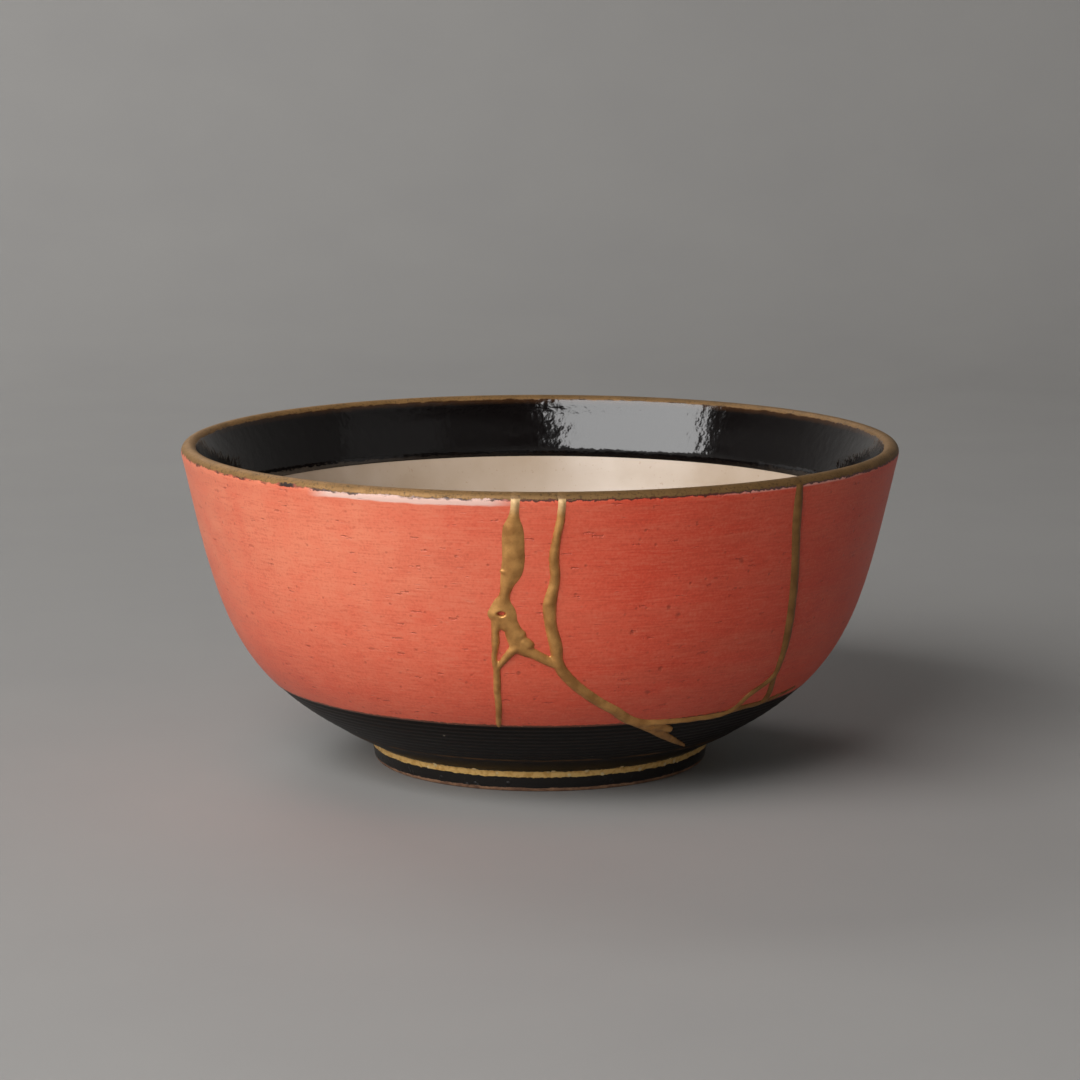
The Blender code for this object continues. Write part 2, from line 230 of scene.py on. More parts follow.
def bowl_profile():
    """The wall's section: from the floor's middle over the lip to the foot's recess."""
    join = inner_point(FLOOR_JOIN)
    join_way = (inner_point(FLOOR_JOIN + 0.01) - join).normalized()
    floor_curve = [
        Vector((0.0, FLOOR_HEIGHT)),
        Vector((join.x / 2, FLOOR_HEIGHT)),
        join - join_way * (join.x * FLOOR_PULL),
        join,
    ]
    points = [bezier(floor_curve, t) for t in spread(0.0, 1.0, 0.05)[:-1]]
    points += [inner_point(t) for t in spread(FLOOR_JOIN, BAND_T, 0.02)]
    points += [inner_point(BAND_T + t) for t in BAND_FOOT_STEPS]
    points += [inner_point(t) for t in spread(BAND_T + 0.027, 1.0, 0.012)]
    points += [lip_point(angle) for angle in spread(168, 12, 13)]
    coral_t = station_at(CORAL_FOOT, outer_point)
    points += [outer_point(t) for t in spread(1.0, coral_t + 0.002, 0.0095)]
    flute_step = (CORAL_FOOT - FLUTES_FOOT) / FLUTES / STEPS_TO_A_FLUTE
    points += [fluted_point(height) for height in spread(CORAL_FOOT, FLUTES_FOOT, flute_step)]
    flutes_t = station_at(FLUTES_FOOT, outer_point)
    points += [outer_point(t) for t in spread(flutes_t - 0.004, 0.006, 0.012)]
    slope = (FOOT_TOP.x - FOOT_BASE_RADIUS) / FOOT_TOP.y
    for height in spread(FOOT_TOP.y - FOOT_GRAIN, FOOT_EDGE, FOOT_GRAIN):
        points.append(Vector((FOOT_TOP.x - slope * (FOOT_TOP.y - height), height)))
    corner = Vector((FOOT_BASE_RADIUS - FOOT_EDGE, FOOT_EDGE))
    for angle in spread(-15, -90, 15):
        turn = math.radians(angle)
        points.append(corner + Vector((math.cos(turn), math.sin(turn))) * FOOT_EDGE)
    inside = FOOT_INSIDE_RADIUS
    # The flat ring that it stands on, its rounded inner edge, and the recess's side
    points += [
        Vector((inside + FOOT_EDGE, 0.0)),
        Vector((inside + 0.25 * MM, 0.2 * MM)),
        Vector((inside, FOOT_EDGE)),
        Vector((inside - 0.5 * MM, FOOT_RECESS - 1.2 * MM)),
        Vector((inside - 1.1 * MM, FOOT_RECESS - 0.4 * MM)),
    ]
    points += [Vector((r, FOOT_RECESS)) for r in spread(inside - 2.4 * MM, 0.0, 6.0 * MM)]
    return points


CORAL, UNDERSIDE, FOOT, BAND, WELL, CLAY = range(6)


def finish_of(face):
    """Which glaze covers a face of the turned wall; the foot's flat ring and recess are bare."""
    centre = face.calc_center_median()
    radius = math.hypot(centre.x, centre.y)
    outwards = face.normal.x * centre.x + face.normal.y * centre.y > 0.05 * radius
    if not outwards and centre.z > FLOOR_HEIGHT - 0.5 * MM:
        return BAND if centre.z > BAND_FOOT else WELL
    if centre.z > CORAL_FOOT:
        return CORAL
    if centre.z > FOOT_TOP.y:
        return UNDERSIDE
    return FOOT if outwards and centre.z > 0.1 * MM else CLAY


def turned_bowl():
    """The wall turned on its axis, with the wheel's and the hand's unevenness in it."""
    bm = bmesh.new()
    verts = [bm.verts.new((0.0, -p.x, p.y)) for p in bowl_profile()]
    edges = [bm.edges.new(pair) for pair in zip(verts, verts[1:])]
    bmesh.ops.spin(
        bm, geom=verts + edges, cent=(0, 0, 0), axis=(0, 0, 1), angle=2 * math.pi,
        steps=TURN_STEPS, use_merge=True,
    )
    bmesh.ops.remove_doubles(bm, verts=bm.verts, dist=0.005 * MM)
    bmesh.ops.recalc_face_normals(bm, faces=bm.faces)
    bm.normal_update()
    for face in bm.faces:
        face.material_index = finish_of(face)
    for vert in bm.verts:
        below_lip = (HEIGHT - LIP_CLEAR - vert.co.z) / LIP_FADE
        off_foot = (math.hypot(vert.co.x, vert.co.y) - FOOT_TOP.x) / FOOT_FADE
        share = min(1.0, below_lip, off_foot)
        if share > 0.0:
            x, y, z = vert.co
            wheel = noise.noise(Vector((x * RING_WANDER, y * RING_WANDER, z * RINGS)))
            hand = noise.noise(vert.co * HAND_DENTS)
            vert.co += vert.normal * (share * MM * (WHEEL_MARKS * wheel + HAND_MARKS * hand))
    return bm


def object_from(name, bm):
    """An object of the scene from a bmesh, shaded smooth."""
    mesh = bpy.data.meshes.new(name)
    bm.to_mesh(mesh)
    bm.free()
    made = bpy.data.objects.new(name, mesh)
    bpy.context.scene.collection.objects.link(made)
    mesh.shade_smooth()
    return made


# The cracks' routes on the outer wall: azimuth in degrees from the front towards +X,
# height as a share of the bowl's height, and half the gold's width in millimetres
WIDE_CRACK = [
    (3.2, 0.970, 0.8), (3.0, 0.922, 1.0), (2.5, 0.873, 1.0), (2.1, 0.812, 1.2),
    (2.3, 0.750, 1.2), (1.8, 0.701, 1.4), (1.5, 0.664, 1.6), (1.7, 0.609, 1.4),
    (2.6, 0.541, 1.5), (2.9, 0.500, 1.3), (3.9, 0.460, 1.4), (6.5, 0.412, 1.4),
    (10.2, 0.364, 1.4), (14.0, 0.326, 1.4), (17.2, 0.291, 1.5), (20.5, 0.274, 1.4),
    (26.0, 0.270, 1.0), (34.0, 0.267, 0.9), (40.0, 0.269, 0.8), (42.4, 0.286, 0.8),
    (43.9, 0.327, 0.8), (46.5, 0.354, 0.8), (48.3, 0.385, 0.9), (48.0, 0.428, 1.0),
    (47.7, 0.461, 1.1), (47.1, 0.515, 1.4), (46.3, 0.584, 1.4), (45.4, 0.670, 1.4),
    (44.5, 0.744, 1.4), (43.6, 0.812, 1.4), (43.0, 0.873, 1.5), (42.6, 0.930, 1.4),
    (42.3, 0.970, 1.0),
]
NARROW_CRACK = [
    (-3.6, 0.970, 0.9), (-3.7, 0.950, 1.0), (-3.8, 0.934, 1.2), (-3.9, 0.912, 1.8),
    (-4.0, 0.893, 2.4), (-4.0, 0.870, 2.6), (-4.0, 0.835, 2.6), (-4.0, 0.805, 2.6),
    (-4.3, 0.770, 2.5), (-4.9, 0.740, 1.8), (-5.3, 0.712, 1.3), (-5.6, 0.690, 1.4),
    (-5.9, 0.667, 2.2), (-5.8, 0.642, 3.0), (-5.3, 0.618, 2.5), (-4.5, 0.600, 1.9),
    (-4.1, 0.578, 2.1), (-3.6, 0.548, 1.9), (-2.6, 0.530, 1.6), (-1.2, 0.520, 1.4),
    (0.4, 0.505, 1.3), (1.9, 0.492, 1.3), (3.2, 0.482, 1.2),
]
# The clay parts a little to the right of the hole in the wide drip, and the narrow crack
# runs on just past the wide one
NARROW_BREAK = [
    (azimuth + (1.6 if 0.60 < share < 0.68 else 0.0), share, half)
    for azimuth, share, half in NARROW_CRACK
] + [(4.0, 0.475, 1.2)]


def smooth_route(points, steps):
    """A rounded path through given points, with steps to each span."""
    path = []
    for i in range(len(points) - 1):
        before = points[max(i - 1, 0)]
        start, end = points[i], points[i + 1]
        after = points[min(i + 2, len(points) - 1)]
        for k in range(steps):
            t = k / steps
            path.append(tuple(
                0.5 * (2 * b + (c - a) * t + (2 * a - 5 * b + 4 * c - d) * t * t
                       + (3 * b - a - 3 * c + d) * t**3)
                for a, b, c, d in zip(before, start, end, after)
            ))
    path.append(tuple(points[-1]))
    return path


def carried_round(point, azimuth):
    """A point of the section, carried round the axis to an azimuth."""
    turn = math.radians(azimuth)
    return Vector((point.x * math.sin(turn), -point.x * math.cos(turn), point.y))


def break_sheet(name, route, ends_at_rim):
    """A thin solid through the whole wall along a crack, to part the sherds."""
    fronts, backs = [], []
    for azimuth, share, _ in smooth_route(route, 4):
        t = station_at(share * HEIGHT, outer_point)
        out = outer_normal(t)
        fronts.append(carried_round(outer_point(t) + out * PAST_WALL, azimuth))
        behind = wall_thickness(t) + PAST_WALL
        backs.append(carried_round(outer_point(t) - out * behind, azimuth))
    for row in (fronts, backs):
        row.insert(0, row[0] + carried_round(WALL_UP * (LIP + PAST_WALL), route[0][0]))
        if ends_at_rim:
            row.append(row[-1] + carried_round(WALL_UP * (LIP + PAST_WALL), route[-1][0]))
    bm = bmesh.new()
    edges = []
    for row in (fronts, backs):
        verts = [bm.verts.new(point) for point in row]
        edges += [bm.edges.new(pair) for pair in zip(verts, verts[1:])]
    bmesh.ops.bridge_loops(bm, edges=edges)
    bmesh.ops.solidify(bm, geom=bm.faces[:], thickness=CRACK)
    bmesh.ops.recalc_face_normals(bm, faces=bm.faces)
    for face in bm.faces:
        face.material_index = CLAY
    return object_from(name, bm)


def add(tree, kind, *values, out=None, **settings):
    """One node with its settings, fed in order by values or other nodes' outputs."""
    node = tree.nodes.new("ShaderNode" + kind)
    for setting, value in settings.items():
        setattr(node, setting, value)
    for socket, value in zip([s for s in node.inputs if s.enabled], values):
        if isinstance(value, bpy.types.NodeSocket):
            tree.links.new(value, socket)
        elif value is not None:
            socket.default_value = value
    return node.outputs[out] if out else next(s for s in node.outputs if s.enabled)


def linear(colour):
    """An sRGB hex colour as the linear colour that a shader takes."""
    parts = [int(colour[i:i + 2], 16) / 255 for i in (1, 3, 5)]
    return (*[c / 12.92 if c <= 0.04045 else ((c + 0.055) / 1.055) ** 2.4 for c in parts], 1.0)


def start_material(name):
    """A new Principled material, with its tree, its shader and its place in millimetres."""
    made = bpy.data.materials.new(name)
    made.use_nodes = True
    tree = made.node_tree
    place = add(tree, "TexCoord", out="Object")
    mm = add(tree, "VectorMath", place, (1 / MM, 1 / MM, 1 / MM), operation="MULTIPLY")
    return made, tree, tree.nodes["Principled BSDF"], mm


def turned_place(tree, mm):
    """Where a point lies as the wheel turns: sine and cosine round the axis, and height in mm."""
    flat = add(tree, "VectorMath", mm, (1, 1, 0), operation="MULTIPLY")
    way = add(tree, "VectorMath", flat, operation="NORMALIZE")
    z = add(tree, "SeparateXYZ", mm, out="Z")
    high = add(tree, "CombineXYZ", 0.0, 0.0, z)
    return add(tree, "VectorMath", way, high, operation="ADD"), z


def gilding(tree, mm):
    """Gold leaf worn thin over a dark ground.

    Hands and cloths have rubbed it to an olive bronze with small dark specks, and it is darker
    towards the right.
    """
    cloud = add(tree, "TexNoise", mm, 0.16, 2.0)
    tone = add(tree, "Mix", cloud, linear("#AE8452"), linear("#72552F"), data_type="RGBA")
    x = add(tree, "SeparateXYZ", mm, out="X")
    # Darker towards the right
    darker_to_right = add(tree, "MapRange", x, -40.0, 10.0, 0.0, 0.45)
    tone = add(tree, "Mix", darker_to_right, tone, linear("#5A4223"), data_type="RGBA")
    speck = add(tree, "TexNoise", mm, 1.8, 4.0, 0.6)
    worn = add(tree, "MapRange", speck, 0.52, 0.68, 0.0, 0.75)
    return add(tree, "Mix", worn, tone, linear("#46351E"), data_type="RGBA")


# Round dents in the front of the coral glaze: millimetres to the right, and up
DENTS = [
    (32.1, 50.6), (29.9, 52.6), (28.1, 37.1), (25.2, 31.0), (21.3, 46.9), (46.9, 62.4),
    (-4.8, 37.1),
]
# The middle of the scuff in the lip's gilding, in millimetres to the left
SCUFF = 59.0


def brushed_coral(tree, mm, turned, x, z):
    """The coral's own colour, with its streaks and the brush marks that they are part of.

    Clouds 20 mm across, bands 4 mm high and streaks 5 mm long, and paler high on the front's
    left: partly a thinner coat, partly a painted sheen.
    """
    cloud = add(tree, "MapRange", add(tree, "TexNoise", mm, 1 / 20, 4.0, 0.6), 0.36, 0.64)
    colour = add(tree, "Mix", cloud, linear("#DE5339"), linear("#D5482E"), data_type="RGBA")
    # Paler high on the front's left: partly a thinner coat, partly a painted sheen on the side the
    # key light falls on
    side = add(tree, "MapRange", x, 22.0, -40.0)
    high = add(tree, "MapRange", z, 26.0, 60.0, 0.35, 1.0)
    thin = add(tree, "Math", side, high, operation="MULTIPLY")
    uneven = add(tree, "MapRange", add(tree, "TexNoise", mm, 1 / 9, 4.0, 0.6), 0.3, 0.6, 0.6, 1.0)
    thin = add(tree, "Math", thin, uneven, operation="MULTIPLY")
    colour = add(tree, "Mix", thin, colour, linear("#E38060"), data_type="RGBA")
    banded = add(tree, "Mapping", turned, (0, 0, 0), (0, 0, 0), (2, 2, 0.28))
    band = add(tree, "MapRange", add(tree, "TexNoise", banded, 1.0, 2.0), 0.40, 0.70, 0.0, 0.28)
    colour = add(tree, "Mix", band, colour, linear("#D26A4E"), data_type="RGBA")
    brushed = add(tree, "Mapping", turned, (0, 0, 0), (0, 0, 0), (16, 16, 2.6))
    streak = add(tree, "TexNoise", brushed, 1.0, 4.0, 0.6)
    grain = add(tree, "TexNoise", mm, 1.6, 3.0, 0.6)
    mixed = add(tree, "Mix", 0.45, streak, grain)
    pale = add(tree, "MapRange", mixed, 0.50, 0.68, 0.0, 0.37)
    colour = add(tree, "Mix", pale, colour, linear("#DC8C6E"), data_type="RGBA")
    deep = add(tree, "MapRange", mixed, 0.50, 0.34, 0.0, 0.37)
    colour = add(tree, "Mix", deep, colour, linear("#A23524"), data_type="RGBA")
    return colour, streak, mixed


def coral_pits(tree, mm, turned, at_front):
    """Where drag pits lie in the coral glaze, and where holes do.

    The ragged drag pits are about 2 mm long, and short ones 1 mm. The holes are pinholes half
    as wide, and a few round dents in the front where bubbles burst in the wet slip.
    """
    ragged = add(tree, "TexNoise", mm, 0.9, 3.0, 0.6)
    dragged = add(tree, "Mapping", turned, (3, 0, 0), (0, 0, 0), (8.0, 8.0, 0.45))
    drag = add(tree, "TexVoronoi", dragged, 1.0)
    drag = add(tree, "Math", ragged, 0.5, drag, operation="MULTIPLY_ADD")
    drag = add(tree, "MapRange", drag, 0.37, 0.31)
    scored = add(tree, "Mapping", turned, (0, 9, 0), (0, 0, 0), (12.0, 12.0, 1.0))
    score = add(tree, "TexVoronoi", scored, 1.0)
    score = add(tree, "Math", ragged, 0.4, score, operation="MULTIPLY_ADD")
    score = add(tree, "MapRange", score, 0.32, 0.25, 0.0, 0.5)
    drag = add(tree, "Math", drag, score, operation="MAXIMUM")
    hole = add(tree, "TexVoronoi", mm, 1 / 2.6)
    hole = add(tree, "MapRange", hole, 0.19, 0.05)
    some = add(tree, "MapRange", add(tree, "TexNoise", mm, 0.35, 1.0), 0.45, 0.62, 0.15, 0.9)
    hole = add(tree, "Math", hole, some, operation="MULTIPLY")
    seen_flat = add(tree, "VectorMath", mm, (1, 0, 1), operation="MULTIPLY")
    dent = 0.0
    for across, up in DENTS:
        off = add(tree, "VectorMath", seen_flat, (across, 0, up), operation="DISTANCE")
        off = add(tree, "Math", ragged, 0.8, off, operation="MULTIPLY_ADD")
        off = add(tree, "MapRange", off, 1.15, 0.6)
        dent = add(tree, "Math", dent, off, operation="MAXIMUM")
    dent = add(tree, "Math", dent, at_front, operation="MULTIPLY")
    return drag, add(tree, "Math", hole, dent, operation="MAXIMUM")


def rubbed_under_lip(tree, turned, x, z, at_front):
    """Where the coral is rubbed pale under the lip: wide on the front's left, thin on its right."""
    wander = add(tree, "Mapping", turned, (0, 0, 0), (0, 0, 0), (9, 9, 0.5))
    wander = add(tree, "TexNoise", wander, 1.0, 4.0)
    left_edge = add(tree, "Math", wander, 1.6, 77.3, operation="MULTIPLY_ADD")
    left = add(tree, "Math", z, left_edge, operation="SUBTRACT")
    left = add(tree, "MapRange", left, -0.2, 0.2)
    left_start = add(tree, "MapRange", x, -54.0, -49.0)
    left_end = add(tree, "MapRange", x, -5.0, -12.0)
    left = add(tree, "Math", left, left_start, operation="MULTIPLY")
    left = add(tree, "Math", left, left_end, operation="MULTIPLY")
    right = add(tree, "MapRange", z, 78.7, 79.2)
    right_start = add(tree, "MapRange", x, 38.0, 50.0)
    right_end = add(tree, "MapRange", x, 84.0, 72.0)
    right = add(tree, "Math", right, right_start, operation="MULTIPLY")
    right = add(tree, "Math", right, right_end, operation="MULTIPLY")
    right = add(tree, "Math", right, 0.6, operation="MULTIPLY")
    rubbed = add(tree, "Math", left, right, operation="MAXIMUM")
    return add(tree, "Math", rubbed, at_front, operation="MULTIPLY")


def gilded_lip(tree, turned, x, z, at_front):
    """Where the lip's dark ground shows, and where its gilding lies.

    The ground shows along the gilding's worn lower edge and in one scuff on the left of the
    front.
    """
    wear = add(tree, "Mapping", turned, (5, 0, 0), (0, 0, 0), (60, 60, 0.9))
    wear = add(tree, "TexNoise", wear, 1.0, 4.0, 0.65)
    edge = add(tree, "Math", wear, 1.8, z, operation="MULTIPLY_ADD")
    ground = add(tree, "MapRange", edge, 80.05, 80.15)
    patch = add(tree, "Mapping", turned, (0, 4, 0), (0, 0, 0), (14, 14, 0.2))
    patch = add(tree, "MapRange", add(tree, "TexNoise", patch, 1.0, 3.0), 0.48, 0.60, 0.1, 0.9)
    unbroken = add(tree, "MapRange", x, -12.0, -4.0, 0.0, 0.9)
    patch = add(tree, "Math", patch, unbroken, operation="MAXIMUM")
    scuff = add(tree, "Math", add(tree, "Math", x, SCUFF), operation="ABSOLUTE")
    scuff = add(tree, "MapRange", scuff, 3.0, 1.4)
    scuff = add(tree, "Math", scuff, at_front, operation="MULTIPLY")
    patch = add(tree, "Math", patch, scuff, operation="MAXIMUM")
    ground = add(tree, "Math", ground, patch, operation="MULTIPLY")
    gilt = add(tree, "Math", scuff, -0.5, edge, operation="MULTIPLY_ADD")
    return ground, add(tree, "MapRange", gilt, 80.45, 80.55)


def coral_glaze():
    """Satin coral slip glaze, brushed on the turning bowl.

    The brush leaves faint level streaks and short drag pits, dust leaves pinholes, bubbles
    leave dents, and the glaze is rubbed pale under the worn gilding of the lip.
    """
    made, tree, shader, mm = start_material("brushed_coral_slip_glaze")
    turned, z = turned_place(tree, mm)
    x = add(tree, "SeparateXYZ", mm, out="X")
    at_front = add(tree, "MapRange", add(tree, "SeparateXYZ", mm, out="Y"), -25.0, -40.0)

    # The brushed coat, darker in its pits and holes and pale where it is rubbed
    colour, streak, mixed = brushed_coral(tree, mm, turned, x, z)
    drag, hole = coral_pits(tree, mm, turned, at_front)
    shown = add(tree, "Math", drag, 0.25, operation="MULTIPLY")
    colour = add(tree, "Mix", shown, colour, linear("#93301F"), data_type="RGBA")
    shown = add(tree, "Math", hole, 0.5, operation="MULTIPLY")
    colour = add(tree, "Mix", shown, colour, linear("#83341F"), data_type="RGBA")
    rubbed = rubbed_under_lip(tree, turned, x, z, at_front)
    shown = add(tree, "Math", rubbed, 0.85, operation="MULTIPLY")
    colour = add(tree, "Mix", shown, colour, linear("#E2C3B6"), data_type="RGBA")

    # A thin brown line where the glaze ends, with a few pale chips
    chipped = add(tree, "TexNoise", mm, 0.9, 3.0, 0.6)
    ends = add(tree, "Math", chipped, 1.0, z, operation="MULTIPLY_ADD")
    ends = add(tree, "MapRange", ends, 23.15, 22.85, 0.0, 0.85)
    chips = add(tree, "MapRange", chipped, 0.62, 0.68)
    line = add(tree, "Mix", chips, linear("#5B3A1F"), linear("#C29B73"), data_type="RGBA")
    colour = add(tree, "Mix", ends, colour, line, data_type="RGBA")

    # The gilded lip over its dark ground
    ground, gilt = gilded_lip(tree, turned, x, z, at_front)
    colour = add(tree, "Mix", ground, colour, linear("#2A1A12"), data_type="RGBA")
    colour = add(tree, "Mix", gilt, colour, gilding(tree, mm), data_type="RGBA")

    # Satin, rougher in the streaks, with its marks pressed in and the gilding on top
    rough = add(tree, "MapRange", streak, 0.3, 0.7, 0.40, 0.50)
    relief = add(tree, "Math", mixed, 0.05, operation="MULTIPLY")
    relief = add(tree, "Math", drag, -0.13, relief, operation="MULTIPLY_ADD")
    relief = add(tree, "Math", hole, -0.09, relief, operation="MULTIPLY_ADD")
    relief = add(tree, "Math", gilt, 0.06, relief, operation="MULTIPLY_ADD")
    tree.links.new(colour, shader.inputs["Base Color"])
    rough = add(tree, "Mix", gilt, rough, 0.6)
    tree.links.new(rough, shader.inputs["Roughness"])
    tree.links.new(add(tree, "Math", gilt, 0.5, operation="MULTIPLY"), shader.inputs["Metallic"])
    tree.links.new(add(tree, "Bump", 1.0, MM, None, relief), shader.inputs["Normal"])
    return made


def underside_glaze():
    """Thin black glaze over the trimmed and fluted underside.

    It is satin, brown where the flutes' crests and their lowest edge have been rubbed, and
    a few pale grains of grit stick in it.
    """
    made, tree, shader, mm = start_material("thin_black_glaze")
    turned, z = turned_place(tree, mm)
    per_mm = 2 * math.pi * FLUTES / ((CORAL_FOOT - FLUTES_FOOT) / MM)
    phase = add(tree, "Math", z, per_mm, -per_mm * FLUTES_FOOT / MM, operation="MULTIPLY_ADD")
    crest = add(tree, "MapRange", add(tree, "Math", phase, operation="COSINE"), 0.4, 1.0)
    fluted = add(tree, "MapRange", z, 9.6, 10.0)
    wear = add(tree, "Mapping", turned, (0, 0, 0), (0, 0, 0), (9, 9, 1.2))
    wear = add(tree, "MapRange", add(tree, "TexNoise", wear, 1.0, 4.0, 0.6), 0.35, 0.65)
    rubbed = add(tree, "Math", crest, fluted, operation="MULTIPLY")
    rubbed = add(tree, "Math", rubbed, wear, operation="MULTIPLY")
    shown = add(tree, "Math", rubbed, 0.6, operation="MULTIPLY")
    colour = add(tree, "Mix", shown, linear("#110C0A"), linear("#3B281B"), data_type="RGBA")
    off = add(tree, "Math", z, FLUTES_FOOT / MM, operation="SUBTRACT")
    off = add(tree, "Math", off, operation="ABSOLUTE")
    lowest = add(tree, "MapRange", off, 0.35, 0.1, 0.0, 0.8)
    lowest = add(tree, "Math", lowest, wear, operation="MULTIPLY")
    colour = add(tree, "Mix", lowest, colour, linear("#6B4A28"), data_type="RGBA")
    grit = add(tree, "MapRange", add(tree, "TexVoronoi", mm, 1 / 9), 0.035, 0.02)
    colour = add(tree, "Mix", grit, colour, linear("#A39A8C"), data_type="RGBA")
    rough = add(tree, "MapRange", rubbed, 0.0, 1.0, 0.45, 0.60)
    grain = add(tree, "Math", add(tree, "TexNoise", mm, 0.7, 3.0), 0.05, operation="MULTIPLY")
    shader.inputs["Specular IOR Level"].default_value = 0.15
    tree.links.new(colour, shader.inputs["Base Color"])
    tree.links.new(rough, shader.inputs["Roughness"])
    tree.links.new(add(tree, "Bump", 1.0, MM, None, grain), shader.inputs["Normal"])
    return made


def clay_colour(tree, mm):
    """Fired stoneware: buff brown, with darker iron grains."""
    tone = add(tree, "TexNoise", mm, 0.5, 4.0)
    tone = add(tree, "MapRange", tone, 0.35, 0.65)
    colour = add(tree, "Mix", tone, linear("#A37B5D"), linear("#765440"), data_type="RGBA")
    iron = add(tree, "MapRange", add(tree, "TexNoise", mm, 2.5, 1.0), 0.66, 0.72, 0.0, 0.7)
    return add(tree, "Mix", iron, colour, linear("#3B281D"), data_type="RGBA")


def foot_finish():
    """The foot ring: a line of gold paint on black glaze, wiped off to bare clay at its edge.

    The line was laid by hand, thick and lumpy, so both its edges waver.
    """
    made, tree, shader, mm = start_material("gold_line_on_black_glazed_foot")
    turned, z = turned_place(tree, mm)

    # The line's two edges, pushed out where a lump of paint lies
    upper = add(tree, "Mapping", turned, (2, 0, 0), (0, 0, 0), (30, 30, 0.5))
    upper = add(tree, "TexNoise", upper, 1.0, 4.0, 0.65)
    lower = add(tree, "Mapping", turned, (6, 0, 0), (0, 0, 0), (30, 30, 0.5))
    lower = add(tree, "TexNoise", lower, 1.0, 4.0, 0.65)
    lump_with_painted_highlight = add(tree, "MapRange", add(tree, "TexVoronoi", mm, 1 / 2.6), 0.26, 0.14)
    spill = add(tree, "Math", lump_with_painted_highlight, 0.45, operation="MULTIPLY")
    below_top = add(tree, "Math", upper, 1.1, z, operation="MULTIPLY_ADD")
    below_top = add(tree, "Math", below_top, spill, operation="SUBTRACT")
    below_top = add(tree, "MapRange", below_top, 5.86, 5.74)
    above_foot = add(tree, "Math", lower, -1.1, z, operation="MULTIPLY_ADD")
    above_foot = add(tree, "Math", above_foot, spill, operation="ADD")
    above_foot = add(tree, "MapRange", above_foot, 3.12, 3.24)
    gilt = add(tree, "Math", below_top, above_foot, operation="MULTIPLY")

    # Its tone varies, each lump carries a painted highlight, and clay shows below the wiped edge
    clump = add(tree, "TexNoise", mm, 0.9, 3.0)
    gold = add(tree, "MapRange", clump, 0.35, 0.55)
    gold = add(tree, "Mix", gold, linear("#D6A256"), linear("#EEC277"), data_type="RGBA")
    # Painted highlight: pale on each lump of paint
    shown = add(tree, "Math", lump_with_painted_highlight, 0.7, operation="MULTIPLY")
    gold = add(tree, "Mix", shown, gold, linear("#F0DDAE"), data_type="RGBA")
    colour = add(tree, "Mix", gilt, linear("#15100E"), gold, data_type="RGBA")
    wiped = add(tree, "Math", lower, 0.8, z, operation="MULTIPLY_ADD")
    clay = add(tree, "MapRange", wiped, 1.42, 1.30)
    colour = add(tree, "Mix", clay, colour, clay_colour(tree, mm), data_type="RGBA")

    rough = add(tree, "Mix", gilt, 0.34, 0.45)
    rough = add(tree, "Mix", clay, rough, 0.9)
    relief = add(tree, "Math", clump, 0.06, operation="MULTIPLY")
    relief = add(tree, "Math", gilt, 0.12, relief, operation="MULTIPLY_ADD")
    relief = add(tree, "Math", lump_with_painted_highlight, 0.12, relief, operation="MULTIPLY_ADD")
    tree.links.new(colour, shader.inputs["Base Color"])
    tree.links.new(rough, shader.inputs["Roughness"])
    tree.links.new(add(tree, "Math", gilt, 0.2, operation="MULTIPLY"), shader.inputs["Metallic"])
    tree.links.new(add(tree, "Bump", 1.0, MM, None, relief), shader.inputs["Normal"])
    return made


def band_glaze():
    """Thick gloss black glaze inside the rim, gilded at the lip.

    It flowed and set like glass: near black, with a low ripple that breaks up the edges
    of whatever it reflects.
    """
    made, tree, shader, mm = start_material("gloss_black_glaze")
    turned, z = turned_place(tree, mm)

    # The gilding's lower edge, and the glaze rubbed brown just under it
    wear = add(tree, "Mapping", turned, (7, 0, 0), (0, 0, 0), (26, 26, 0.6))
    wear = add(tree, "TexNoise", wear, 1.0, 4.0, 0.6)
    edge = add(tree, "Math", wear, 1.2, z, operation="MULTIPLY_ADD")
    brown = add(tree, "MapRange", edge, 79.4, 80.7)
    colour = add(tree, "Mix", brown, linear("#0A0707"), linear("#3A2413"), data_type="RGBA")
    gilt = add(tree, "MapRange", edge, 80.6, 80.9)
    colour = add(tree, "Mix", gilt, colour, gilding(tree, mm), data_type="RGBA")

    rough = add(tree, "Mix", gilt, 0.11, 0.6)
    ripple = add(tree, "TexNoise", mm, 0.42, 2.0, 0.5)
    ripple = add(tree, "Math", ripple, 0.11, operation="MULTIPLY")
    tree.links.new(colour, shader.inputs["Base Color"])
    tree.links.new(rough, shader.inputs["Roughness"])
    tree.links.new(add(tree, "Math", gilt, 0.5, operation="MULTIPLY"), shader.inputs["Metallic"])
    tree.links.new(add(tree, "Bump", 1.0, MM, None, ripple), shader.inputs["Normal"])
    return made


def well_glaze():
    """Cream glaze in the well: warm white, softly mottled, with a quiet gloss."""
    made, tree, shader, mm = start_material("cream_glaze")
    mottle = add(tree, "MapRange", add(tree, "TexNoise", mm, 1 / 14, 4.0), 0.35, 0.65)
    colour = add(tree, "Mix", mottle, linear("#BCA996"), linear("#B29D87"), data_type="RGBA")
    speck = add(tree, "MapRange", add(tree, "TexNoise", mm, 1.3, 1.0), 0.70, 0.76, 0.0, 0.4)
    colour = add(tree, "Mix", speck, colour, linear("#9B7B5E"), data_type="RGBA")
    shader.inputs["Roughness"].default_value = 0.30
    ripple = add(tree, "Math", add(tree, "TexNoise", mm, 0.22, 2.0), 0.05, operation="MULTIPLY")
    tree.links.new(colour, shader.inputs["Base Color"])
    tree.links.new(add(tree, "Bump", 1.0, MM, None, ripple), shader.inputs["Normal"])
    return made


